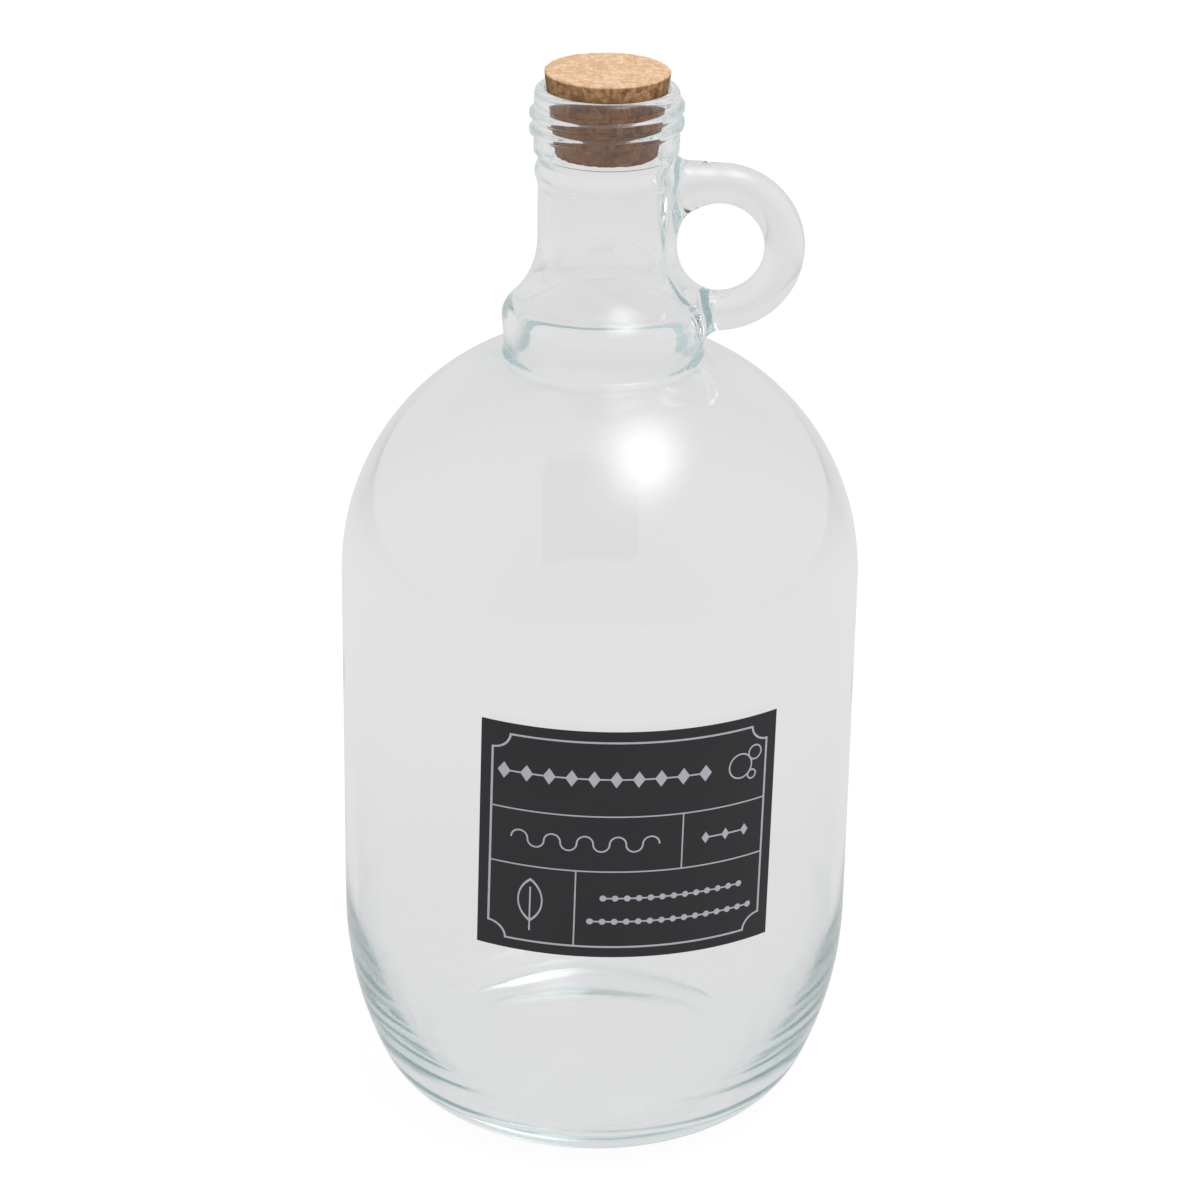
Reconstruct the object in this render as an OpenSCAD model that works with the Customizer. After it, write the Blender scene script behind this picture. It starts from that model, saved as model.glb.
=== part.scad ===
// Two-litre glass laundry bottle: a moulded bottle with a finger ring and a
// screw finish, a tapered cork stopper and a printed label.
// Millimetres, +Z up. The origin is the centre of the base, on the bottle's
// axis. The finger ring points along +X and the label faces roughly -Y.

/* [Body] */
// Outside diameter of the straight side
body_d = 130; // [120:1:140]
// Height of the heel curve, from the table to the straight side
heel_h = 51.5; // [48:0.5:56]
// Height of the straight side, from the heel to the shoulder
side_h = 92; // [85:1:140]
// Radius of the long heel curve
heel_r = 97; // [90:1:110]
// Radius of the tight curve that turns the heel under the base
foot_r = 24.6; // [22:0.2:28]
// How much of the foot curve the bearing ring cuts off
foot_cut = 2; // [1:0.5:3]
// Radius of the shoulder curve
shoulder_r = 62; // [60:0.5:64]

/* [Glass thickness] */
// Wall of the straight side and of the shoulder
wall = 3; // [2.4:0.1:3.6]
// Thickness of the base at its centre
base_t = 6; // [5:0.5:8]
// Height of the push-up under the base
push_up_h = 5; // [3:0.5:7]
// Diameter of the push-up where it meets the bearing ring
push_up_d = 80; // [70:1:84]
// Rise of the inner floor from its rim to its centre
floor_crown = 2; // [1:0.5:3]
// Radius of the corner between the inner floor and the inner heel
inner_foot_r = 8; // [6:0.5:10]
// Radius of the long curve inside the heel
inner_heel_r = 86; // [82:1:90]
// Height at which the inside of the wall becomes straight
inner_heel_h = 56; // [53:1:62]
// Diameter inside the collar
inner_collar_d = 42; // [40:0.5:43]
// Fillet inside, between the shoulder and the collar
inner_fillet_r = 5; // [4.5:0.5:6]
// Height from the straight side to where the collar's inside starts to close
inner_collar_h = 65.5; // [64:0.5:67]
// Rounding inside the top of the collar
inner_round_r = 12; // [10:0.5:13]
// Radius of the curve inside, from the collar into the neck
inner_flare_r = 22; // [20:1:24]

/* [Neck] */
// Diameter of the collar above the shoulder
collar_d = 49; // [46:0.5:52]
// How far the collar's rounded top edge stands out from its side
collar_lip = 0.7; // [0.4:0.1:1.2]
// Height from the foot of the collar to the middle of its rounded top edge
collar_h = 9.5; // [8:0.5:12]
// Rounding of the collar's top edge
collar_round = 4; // [3:0.5:5]
// Fillet between the shoulder and the collar
collar_fillet = 1.5; // [1:0.25:2.5]
// Diameter of the straight neck
neck_d = 33; // [32:0.5:34]
// Length of the straight neck, from the flare to the screw finish
neck_l = 22; // [18:1:30]
// Radius of the flare from the collar into the neck
flare_r = 22; // [19:1:25]
// Height of the round bead under the screw finish
bead_h = 5; // [4:0.5:6]
// How far the bead stands out from the neck
bead_proud = 0.9; // [0.5:0.1:1.2]
// Distance from the underside of the finish down to the bead's middle
bead_drop = 5; // [4:0.5:6]

/* [Screw finish] */
// Height of the finish, from its underside to the lip
finish_h = 16.2; // [15:0.5:20]
// Diameter between the threads
root_d = 35.2; // [34.8:0.2:36]
// Diameter over the threads
thread_d = 37.4; // [36.8:0.2:38.4]
// Rise of the thread in one turn
thread_pitch = 4; // [3.5:0.25:4.5]
// Number of turns of thread, with its tapered ends
thread_turns = 2.2; // [1.5:0.1:2.4]
// Width of the thread at its foot
thread_w = 2.9; // [2.4:0.1:3.2]
// Distance from the lip down to the upper end of the thread
thread_drop = 4; // [3.5:0.25:5]
// Angle of the thread's upper end, from the finger ring
thread_start = 65; // [5:10:355]
// Rounding of the lip on its outside
lip_round = 2; // [1:0.25:2.5]
// Rounding of the lip on its inside
mouth_round = 1.2; // [0.6:0.1:1.6]
// Bore at the mouth, where the cork seats
mouth_d = 29.6; // [28.6:0.2:30.2]
// Bore in the neck, below the mouth's taper
throat_d = 27.4; // [26:0.2:28]
// Length of the mouth's taper
mouth_l = 23; // [18:1:28]

/* [Finger ring] */
// Diameter of the circle along the middle of the glass rod
ring_d = 32.5; // [30:0.5:35]
// Thickness of the rod
rod_d = 9.9; // [9:0.1:11]
// How deep the finger hole bites into the line of the neck
ring_sink = 0.3; // [0.3:0.1:0.8]
// Height of the lower rod over the middle of the collar's top edge
ring_lift = 1.2; // [0:0.2:3]

/* [Cork] */
// Length of the cork
cork_l = 20.5; // [16:0.5:26]
// Length of cork above the lip
cork_proud = 4; // [2:0.5:8]
// Change of the cork's radius over one millimetre of length
cork_taper = 0.13; // [0.1:0.01:0.15]
// Radial gap between the cork and the mouth
cork_clear = 0.15; // [0.1:0.05:0.3]
// Bevel on the cork's two edges
cork_bevel = 0.4; // [0.2:0.1:0.8]

/* [Label] */
// Width of the label, measured along the glass
label_w = 76; // [60:1:90]
// Height of the label
label_h = 61; // [50:1:66]
// Thickness of the label
label_t = 0.2; // [0.15:0.05:0.3]
// Height of the label's middle above the table
label_z = 97.7; // [95:0.1:102]
// Turn of the label's middle from the front towards the finger ring
label_turn = 7.8; // [-30:0.2:30]
// Tilt of the label, clockwise as seen
label_tilt = 1.1; // [0:0.1:3]

/* [Print] */
// Thickness of the ink
ink_t = 0.05; // [0.03:0.01:0.1]
// Margin between the label's edge and the printed frame
frame_inset = 2.6; // [2:0.1:4]
// Width of the frame's line
frame_line = 0.5; // [0.4:0.05:0.8]
// Width of the rules' lines
rule_line = 0.35; // [0.3:0.05:0.6]
// Radius of the frame's notched corners
notch_r = 4; // [3:0.5:5]
// Distance from the label's top edge down to the first rule
rule_1 = 22.6; // [20:0.1:25]
// Distance from the label's top edge down to the second rule
rule_2 = 37.5; // [35:0.1:40]
// Place of the upright rule in the middle row, from the label's middle
post_1 = 12.6; // [8:0.1:16]
// Place of the upright rule in the bottom row, from the label's middle
post_2 = -13.4; // [-18:0.1:-8]
// Width of the lines in the ornaments
thin_line = 0.4; // [0.3:0.05:0.6]
// Height of the lozenges in the top band
lozenge_h = 4.4; // [3:0.2:6]
// Distance between the lozenges in the top band
lozenge_pitch = 5.4; // [5:0.1:5.8]
// Place of the top band's middle, from the label's middle
band_x = -7; // [-8:0.5:-6]
// Outer radius of the largest bubble
bubble_r = 3.4; // [2.6:0.1:3.8]
// Place of the largest bubble, from the label's middle
bubble_x = 27.5; // [27:0.5:29]
// Outer radius of the bends in the wave
wave_r = 2.2; // [1.6:0.1:2.6]
// Height of the leaf, without its stem
leaf_h = 12; // [9:0.5:13]
// Width of the leaf
leaf_w = 6.4; // [4:0.2:9]
// Diameter of the beads in the bottom row
bead_d = 1.6; // [1.2:0.1:2]
// Distance between two beads of a string
bead_pitch = 2.9; // [2.5:0.1:3]
// Distance between the two strings of beads
bead_gap = 6.4; // [5:0.2:8]

/* [Hidden] */
$fn = 96;

over = 1;               // reach of a cut past the face that it opens
thread_steps = 30;      // sections in one turn of thread
thread_fade = 45;       // degrees over which a thread's end sinks into the glass
thread_bite = 0.6;      // how deep the thread's foot lies in the glass

body_r = body_d / 2;
side_z = heel_h + side_h;
neck_r = neck_d / 2;
root_r = root_d / 2;
rod_r = rod_d / 2;

// Centres of the curves of the outside, as [radius, height]
heel_c = [body_r - heel_r, heel_h];
foot_z = foot_r - foot_cut;
foot_c = [heel_c.x + reach(heel_r - foot_r, heel_h - foot_z), foot_z];
foot_top = on_line(heel_c, foot_c, heel_r);
shoulder_c = [body_r - shoulder_r, side_z];

collar_r = collar_d / 2;
collar_z = side_z + reach(shoulder_r, collar_r - shoulder_c.x);
collar_c = [collar_r + collar_lip - collar_round, collar_z + collar_h];
fillet_c = [collar_r + collar_fillet,
            side_z + reach(shoulder_r + collar_fillet, collar_r + collar_fillet - shoulder_c.x)];
fillet_low = on_line(shoulder_c, fillet_c, shoulder_r);
flare_c = [neck_r + flare_r,
           collar_c.y + reach(flare_r + collar_round, neck_r + flare_r - collar_c.x)];
flare_low = on_line(collar_c, flare_c, collar_round);

finish_z = flare_c.y + neck_l;
lip_z = finish_z + finish_h;
bead_r = (bead_h * bead_h / 4 + bead_proud * bead_proud) / (2 * bead_proud);
bead_c = [neck_r + bead_proud - bead_r, finish_z - bead_drop];

// Centres of the curves of the inside
inner_r = body_r - wall;
mouth_r = mouth_d / 2;
throat_r = throat_d / 2;
throat_z = lip_z - mouth_l;
floor_z = push_up_h + base_t;
inner_heel_c = [inner_r - inner_heel_r, inner_heel_h];
inner_foot_z = floor_z - floor_crown + inner_foot_r;
inner_foot_c = [inner_heel_c.x + reach(inner_heel_r - inner_foot_r, inner_heel_h - inner_foot_z),
                inner_foot_z];
inner_foot_top = on_line(inner_heel_c, inner_foot_c, inner_heel_r);
inner_shoulder_r = shoulder_r - wall;
inner_collar_r = inner_collar_d / 2;
inner_fillet_c = [inner_collar_r + inner_fillet_r,
                  side_z + reach(inner_shoulder_r + inner_fillet_r,
                                 inner_collar_r + inner_fillet_r - shoulder_c.x)];
inner_fillet_low = on_line(shoulder_c, inner_fillet_c, inner_shoulder_r);
inner_round_c = [inner_collar_r - inner_round_r, side_z + inner_collar_h];
inner_flare_c = [throat_r + inner_flare_r,
                 inner_round_c.y + reach(inner_flare_r + inner_round_r,
                                         throat_r + inner_flare_r - inner_round_c.x)];
inner_flare_low = on_line(inner_round_c, inner_flare_c, inner_round_r);
push_up_r = push_up_d / 2;
push_up_curve = (push_up_r * push_up_r + push_up_h * push_up_h) / (2 * push_up_h);
crown_drop = inner_foot_c.y - floor_z;
crown_curve = (inner_foot_c.x * inner_foot_c.x + crown_drop * crown_drop
               - inner_foot_r * inner_foot_r) / (2 * (inner_foot_r - crown_drop));

// Finger ring
ring_c = [neck_r - ring_sink + ring_d / 2 - rod_r, collar_c.y + ring_lift + ring_d / 2];

// Cork: it would touch the mouth where the lip's inner rounding ends
seat_z = lip_z - mouth_round;
cork_z = lip_z + cork_proud - cork_l;
cork_seat_r = mouth_r - cork_clear;

// Label
ink_r = body_r + label_t;
frame_w = label_w - 2 * frame_inset;
frame_h = label_h - 2 * frame_inset;
rule_1_y = label_h / 2 - rule_1;
rule_2_y = label_h / 2 - rule_2;
row_1_y = (frame_h / 2 + rule_1_y) / 2;
row_2_y = (rule_1_y + rule_2_y) / 2;
row_3_y = (rule_2_y - frame_h / 2) / 2;

// Length of the other short side of a right triangle
function reach(long, short) = sqrt(long * long - short * short);
// Point on the line from a through b, at a distance from a
function on_line(a, b, distance) = a + (b - a) * distance / norm(b - a);
// Sideways place, seen square on, of a point so far round the glass
function flat(u) = body_r * sin(u / body_r * 180 / PI);

// 2D shapes below are half sections: x is the radius and y is the height.

// Everything within a radius, between two heights
module core(r, low, high) translate([0, low]) square([r, high - low]);

// Half of a disc whose centre may lie on either side of the axis
module disc(c, r, low, high) {
    intersection() {
        translate(c) circle(r);
        core(c.x + r + over, low, high);
    }
}

// Core that hugs the outside of a round edge: it fills an inner corner
module cove(edge, c, r, low) {
    difference() {
        core(edge, low, c.y);
        translate(c) circle(r);
    }
}

module outer_section() {
    disc(foot_c, foot_r, 0, foot_top.y);
    core(foot_c.x, 0, foot_top.y);
    disc(heel_c, heel_r, foot_top.y, heel_h);
    core(body_r, heel_h, side_z);
    disc(shoulder_c, shoulder_r, side_z, side_z + shoulder_r);
    cove(fillet_low.x, fillet_c, collar_fillet, side_z);
    core(collar_r, side_z, collar_c.y);
    translate(collar_c) circle(collar_round);
    cove(flare_low.x, flare_c, flare_r, collar_c.y);
    core(neck_r, collar_c.y, finish_z + over);
    disc(bead_c, bead_r, bead_c.y - bead_h, bead_c.y + bead_h);
    core(root_r, finish_z, lip_z - lip_round);
    core(root_r - lip_round, finish_z, lip_z);
    translate([root_r - lip_round, lip_z - lip_round]) circle(lip_round);
}

module inner_section() {
    difference() {
        union() {
            translate(inner_foot_c) circle(inner_foot_r);
            core(inner_foot_c.x, push_up_h, inner_foot_top.y);
        }
        translate([0, floor_z - crown_curve]) circle(crown_curve);
        core(body_r, inner_foot_top.y, side_z);
    }
    disc(inner_heel_c, inner_heel_r, inner_foot_top.y, inner_heel_h);
    core(inner_r, inner_heel_h, side_z);
    disc(shoulder_c, inner_shoulder_r, side_z, side_z + inner_shoulder_r);
    cove(inner_fillet_low.x, inner_fillet_c, inner_fillet_r, side_z);
    core(inner_collar_r, side_z, inner_round_c.y);
    disc(inner_round_c, inner_round_r, inner_round_c.y, inner_round_c.y + inner_round_r);
    cove(inner_flare_low.x, inner_flare_c, inner_flare_r, inner_round_c.y);
    core(throat_r, inner_round_c.y, throat_z + over);
    polygon([[0, throat_z], [throat_r, throat_z], [mouth_r, seat_z], [0, seat_z]]);
    difference() {
        core(mouth_r + mouth_round, seat_z, lip_z + over);
        translate([mouth_r + mouth_round, seat_z]) circle(mouth_round);
    }
}

module push_up_section() {
    difference() {
        translate([0, push_up_h - push_up_curve]) circle(push_up_curve);
        translate([-push_up_curve, -2 * push_up_curve]) square([push_up_curve, 4 * push_up_curve]);
        core(push_up_curve + over, -2 * push_up_curve, -over);
    }
}

// How far a thread stands up at an angle, from 0 at its ends to 1
function fade(a, end) = min(1, a / thread_fade, (end - a) / thread_fade);

// One thread, right-handed, as a ridge with a rounded top that sinks away at both ends
module thread() {
    depth = thread_d / 2 - root_r;
    sweep = thread_turns * 360;
    steps = ceil(thread_turns * thread_steps);
    foot = 1 + 0.7 * thread_bite / depth;
    ridge = [[-foot, -thread_bite / depth], [-0.45, 0.8], [-0.15, 1],
             [0.15, 1], [0.45, 0.8], [foot, -thread_bite / depth]];
    count = len(ridge);
    points = [for (i = [0:steps]) let (a = sweep * i / steps, up = fade(a, sweep))
        for (p = ridge) let (r = root_r - (1 - up) * thread_bite * 0.4 + p.y * depth * (p.y < 0 ? 1 : up))
            [r * cos(a), r * sin(a), thread_pitch * a / 360 + p.x * thread_w / 2]];
    sides = [for (i = [0:steps - 1], j = [0:count - 1]) let (k = (j + 1) % count)
        [i * count + j, i * count + k, (i + 1) * count + k, (i + 1) * count + j]];
    low_end = [for (j = [count - 1:-1:0]) j];
    high_end = [for (j = [0:count - 1]) steps * count + j];
    translate([0, 0, lip_z - thread_drop - thread_pitch * thread_turns])
        rotate([0, 0, thread_start - sweep])
            polyhedron(points = points, faces = concat([low_end, high_end], sides), convexity = 8);
}

// The ring, with level rods that carry its top and bottom into the neck
module finger_ring() {
    translate([ring_c.x, 0, ring_c.y]) rotate([90, 0, 0])
        rotate_extrude() translate([ring_d / 2, 0]) circle(rod_r);
    for (side = [-1, 1])
        translate([0, 0, ring_c.y + side * ring_d / 2]) rotate([0, 90, 0])
            cylinder(r = rod_r, h = ring_c.x);
}

module glass_bottle() {
    color([0.80, 0.89, 0.88, 0.5]) difference() {
        union() {
            rotate_extrude() outer_section();
            thread();
            finger_ring();
        }
        rotate_extrude() inner_section();
        rotate_extrude() push_up_section();
    }
}

module cork_stopper() {
    low_r = cork_seat_r - cork_taper * (seat_z - cork_z);
    high_r = low_r + cork_taper * cork_l;
    color([0.82, 0.62, 0.42]) translate([0, 0, cork_z]) rotate_extrude() polygon([
        [0, 0], [low_r - cork_bevel, 0], [low_r, cork_bevel],
        [high_r, cork_l - cork_bevel], [high_r - cork_bevel, cork_l], [0, cork_l]]);
}

// Children, drawn flat around a point of the label, as a skin on the glass.
// x and y are measured from the label's middle, along and across the label.
module on_label(r, t, x = 0, y = 0) {
    along = x * cos(label_tilt) + y * sin(label_tilt);
    height = y * cos(label_tilt) - x * sin(label_tilt);
    rotate([0, 0, label_turn + along / body_r * 180 / PI])
        translate([0, 0, label_z + height])
            intersection() {
                rotate([90, label_tilt, 0]) linear_extrude(body_d) children();
                translate([0, 0, -label_h]) rotate_extrude()
                    translate([r, 0]) square([t, 2 * label_h]);
            }
}

module label() {
    color([0.18, 0.18, 0.19]) on_label(body_r, label_t)
        square([2 * flat(label_w / 2), label_h], center = true);
}

// Outline of the frame, with a round bite out of each corner
module frame_outline(inset) {
    w = flat(frame_w / 2) - inset;
    h = frame_h / 2 - inset;
    difference() {
        square([2 * w, 2 * h], center = true);
        for (x = [-1, 1], y = [-1, 1])
            translate([x * flat(frame_w / 2), y * frame_h / 2]) circle(notch_r + inset);
    }
}

// A level rule from x1 to x2 and an upright one from y1 to y2
module level_rule(x1, x2, y)
    translate([flat(x1), y - rule_line / 2]) square([flat(x2) - flat(x1), rule_line]);
module upright_rule(x, y1, y2)
    translate([flat(x) - rule_line / 2, y1]) square([rule_line, y2 - y1]);

module frame_and_rules() {
    half_w = frame_w / 2 - frame_line / 2;
    difference() {
        frame_outline(0);
        frame_outline(frame_line);
    }
    level_rule(-half_w, half_w, rule_1_y);
    level_rule(-half_w, half_w, rule_2_y);
    upright_rule(post_1, rule_2_y, rule_1_y);
    upright_rule(post_2, (frame_line - frame_h) / 2, rule_2_y);
}

// Lozenges in a row on a thin line
module lozenges(count, pitch, h) {
    half_w = h * 0.35;
    square([(count - 1) * pitch, thin_line], center = true);
    for (i = [0:count - 1]) translate([(i - (count - 1) / 2) * pitch, 0])
        polygon([[-half_w, 0], [0, -h / 2], [half_w, 0], [0, h / 2]]);
}

module ring_line(r) {
    difference() {
        circle(r);
        circle(r - thin_line);
    }
}

// Three open rings that touch, like bubbles
module bubbles() {
    second = bubble_r * 0.6;
    third = bubble_r * 0.4;
    ring_line(bubble_r);
    rotate(35) translate([bubble_r + second - thin_line, 0]) ring_line(second);
    rotate(-40) translate([bubble_r + third - thin_line, 0]) ring_line(third);
}

// Bends that swing up and down by turns
module wave(count) {
    middle_r = wave_r - thin_line / 2;
    for (i = [0:count - 1]) translate([(2 * i - count + 1) * middle_r, 0])
        intersection() {
            ring_line(wave_r);
            rotate(i % 2 * 180) translate([-2 * wave_r, -thin_line / 4])
                square([4 * wave_r, 2 * wave_r]);
        }
}

// Pointed oval, where two large circles cross
module lens(w, h) {
    r = (w * w + h * h) / (4 * w);
    intersection() {
        translate([r - w / 2, 0]) circle(r);
        translate([w / 2 - r, 0]) circle(r);
    }
}

// Outline of a leaf, with a stem that runs up into it
module leaf() {
    difference() {
        lens(leaf_w, leaf_h);
        lens(leaf_w - 2 * thin_line, leaf_h - 2 * thin_line * leaf_h / leaf_w);
    }
    translate([-thin_line / 2, -leaf_h * 0.7]) square([thin_line, leaf_h]);
}

module beads(count) {
    square([(count - 1) * bead_pitch, thin_line], center = true);
    for (i = [0:count - 1]) translate([(i - (count - 1) / 2) * bead_pitch, 0]) circle(d = bead_d);
}

module label_print() {
    left = -frame_w / 2;
    right = frame_w / 2;
    color([0.76, 0.76, 0.80]) {
        on_label(ink_r, ink_t) frame_and_rules();
        on_label(ink_r, ink_t, band_x, row_1_y) lozenges(10, lozenge_pitch, lozenge_h);
        on_label(ink_r, ink_t, bubble_x, row_1_y) bubbles();
        on_label(ink_r, ink_t, (left + post_1) / 2, row_2_y) wave(9);
        on_label(ink_r, ink_t, (post_1 + right) / 2, row_2_y) lozenges(3, lozenge_pitch, lozenge_h * 0.7);
        on_label(ink_r, ink_t, (left + post_2) / 2, row_3_y + leaf_h * 0.1) leaf();
        for (side = [-1, 1])
            on_label(ink_r, ink_t, (post_2 + right) / 2, row_3_y + side * bead_gap / 2) beads(14 - side);
    }
}

glass_bottle();
cork_stopper();
label();
label_print();
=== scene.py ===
# Looks for the glass laundry bottle: clear moulded glass, a cork and a dark printed label
import math
from itertools import product

import bpy
import numpy as np
from mathutils import Matrix, Vector, noise


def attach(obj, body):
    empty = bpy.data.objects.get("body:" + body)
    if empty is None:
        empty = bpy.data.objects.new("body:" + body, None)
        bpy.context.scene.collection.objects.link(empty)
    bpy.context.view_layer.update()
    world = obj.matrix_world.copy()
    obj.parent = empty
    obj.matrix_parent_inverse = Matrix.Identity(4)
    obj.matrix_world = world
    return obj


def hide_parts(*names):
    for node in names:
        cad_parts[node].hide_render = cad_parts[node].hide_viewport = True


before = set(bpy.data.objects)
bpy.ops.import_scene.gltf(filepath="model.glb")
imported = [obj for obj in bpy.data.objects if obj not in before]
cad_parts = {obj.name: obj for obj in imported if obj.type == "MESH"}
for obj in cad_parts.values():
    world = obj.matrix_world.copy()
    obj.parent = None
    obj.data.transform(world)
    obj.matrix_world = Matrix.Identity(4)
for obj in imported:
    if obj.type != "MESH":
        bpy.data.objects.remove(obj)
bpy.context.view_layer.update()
mm = 0.001
print("frame loaded")

camera = {
    "lens": 115.5,        # mm, on a sensor 36 mm wide
    "tilt": 23.7,         # degrees that it looks down
    "distance": 975.4,    # mm from the bottle's axis, along the line of sight
    "aim": 134.2,         # mm, height on the axis that it looks at
    "roll": 0.917,        # degrees
    "shift": 0.0006,
}


def makeCamera():
    data = bpy.data.cameras.new("camera")
    data.lens = camera["lens"]
    data.sensor_width = 36
    data.shift_x = camera["shift"]
    data.clip_start, data.clip_end = 0.05, 50
    tilt = math.radians(camera["tilt"])
    back = Vector((0, -math.cos(tilt), math.sin(tilt)))
    body = bpy.data.objects.new("camera", data)
    body.matrix_world = (
        Matrix.Translation(Vector((0, 0, camera["aim"] * mm)) + back * camera["distance"] * mm)
        @ Matrix.Rotation(math.pi / 2 - tilt, 4, "X")
        @ Matrix.Rotation(math.radians(camera["roll"]), 4, "Z")
    )
    bpy.context.scene.collection.objects.link(body)
    bpy.context.scene.camera = body


makeCamera()
bpy.context.scene.view_settings.view_transform = "Standard"
# light that is caught in the thick parts of the glass leaves it only after many reflections
for kind in ("max_bounces", "glossy_bounces", "transmission_bounces"):
    setattr(bpy.context.scene.cycles, kind, 128)


# Shader maths
class Wire:
    # one output of a node, so that shader maths reads as Python
    def __init__(self, tree, socket):
        self.tree = tree
        self.socket = socket

    def __add__(self, other):
        return self.tree.maths("ADD", self, other)

    def __sub__(self, other):
        return self.tree.maths("SUBTRACT", self, other)

    def __rsub__(self, other):
        return self.tree.maths("SUBTRACT", other, self)

    def __mul__(self, other):
        return self.tree.maths("MULTIPLY", self, other)

    __radd__ = __add__
    __rmul__ = __mul__


class Nodes:
    # the nodes of a material or of the world
    def __init__(self, owner):
        owner.use_nodes = True
        self.tree = owner.node_tree
        self.tree.nodes.clear()

    # adds a node of a type, with its settings first and then the values or links of its sockets
    def add(self, kind, settings=None, sockets=None, output=0):
        node = self.tree.nodes.new(kind)
        for name, value in (settings or {}).items():
            if name == "stops":
                ramp = node.color_ramp
                while len(ramp.elements) < len(value):
                    ramp.elements.new(0.5)
                for element, (place, tone) in zip(ramp.elements, value):
                    element.position = place
                    element.color = (*tone, 1)
            else:
                setattr(node, name, value)
        for name, value in (sockets or {}).items():
            self.put(node.inputs[name], value)
        return Wire(self, node.outputs[output])

    def put(self, socket, value):
        if isinstance(value, Wire):
            self.tree.links.new(value.socket, socket)
        elif socket.type == "RGBA" and len(value) == 3:
            socket.default_value = (*value, 1)
        elif socket.type == "VECTOR" and not hasattr(value, "__len__"):
            socket.default_value = (value, value, value)
        else:
            socket.default_value = value

    def maths(self, operation, a, b):
        wide = any(isinstance(x, tuple) or isinstance(x, Wire) and x.socket.type != "VALUE" for x in (a, b))
        kind = "ShaderNodeVectorMath" if wide else "ShaderNodeMath"
        return self.add(kind, {"operation": operation}, {0: a, 1: b})

    # colour a where the mask is 0 and colour b where it is 1
    def blend(self, mask, a, b):
        return self.add("ShaderNodeMix", {"data_type": "RGBA"}, {0: mask, 6: a, 7: b}, output=2)

    # 0 below low, 1 above high
    def band(self, value, low, high):
        settings = {"interpolation_type": "SMOOTHSTEP"}
        return self.add("ShaderNodeMapRange", settings, {0: value, 1: low, 2: high, 3: 0.0, 4: 1.0})

    def finish(self, surface, volume=None, kind="ShaderNodeOutputMaterial"):
        out = self.tree.nodes.new(kind)
        self.tree.links.new(surface.socket, out.inputs["Surface"])
        if volume:
            self.tree.links.new(volume.socket, out.inputs["Volume"])


def newMaterial(name):
    material = bpy.data.materials.new(name)
    return material, Nodes(material)


# Meshes
def makeObject(name, points, faces, normals=None):
    mesh = bpy.data.meshes.new(name)
    mesh.from_pydata([tuple(p) for p in points], [], faces)
    mesh.polygons.foreach_set("use_smooth", [True] * len(mesh.polygons))
    if normals is not None:
        mesh.normals_split_custom_set_from_vertices([tuple(n) for n in normals])
    mesh.update()
    body = bpy.data.objects.new(name, mesh)
    bpy.context.scene.collection.objects.link(body)
    return body


def dress(body, material):
    body.data.materials.clear()
    body.data.materials.append(material)


def reach(long, short):
    return math.sqrt(long * long - short * short)


def onLine(a, b, distance):
    a, b = np.array(a, float), np.array(b, float)
    return a + (b - a) * distance / np.linalg.norm(b - a)


# points a step apart along a circle, the short way round
def arc(centre, start, end, step):
    a, b = (math.atan2(p[1] - centre[1], p[0] - centre[0]) for p in (start, end))
    turn = (b - a + math.pi) % (2 * math.pi) - math.pi
    radius = math.hypot(start[0] - centre[0], start[1] - centre[1])
    count = max(2, math.ceil(abs(turn) * radius / step))
    angles = [a + turn * i / count for i in range(count + 1)]
    return [(centre[0] + radius * math.cos(t), centre[1] + radius * math.sin(t)) for t in angles]


def straight(start, end, step):
    count = max(1, math.ceil(math.dist(start, end) / step))
    return [tuple(start[k] + (end[k] - start[k]) * i / count for k in (0, 1)) for i in range(count + 1)]


# one outline from stretches that meet end to end
def joined(*stretches):
    line = list(stretches[0])
    for stretch in stretches[1:]:
        line += stretch[1:]
    return line


def smoothStep(value, low, high):
    t = np.clip((value - low) / (high - low), 0, 1)
    return t * t * (3 - 2 * t)


# a revolved outline: rows of points round the axis
def turned(outline, segments):
    angle = np.arange(segments) * 2 * math.pi / segments
    r, z = np.array(outline).T
    level = np.ones(segments)
    return np.stack([np.outer(r, np.cos(angle)), np.outer(r, np.sin(angle)), np.outer(z, level)], -1)


def gridNormals(grid):
    around = np.roll(grid, -1, 1) - np.roll(grid, 1, 1)
    along = np.gradient(grid, axis=0)
    n = np.cross(around, along)
    return n / np.maximum(np.linalg.norm(n, axis=-1, keepdims=True), 1e-12)


def unit(v):
    return v / np.maximum(np.linalg.norm(v, axis=-1, keepdims=True), 1e-12)


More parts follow.
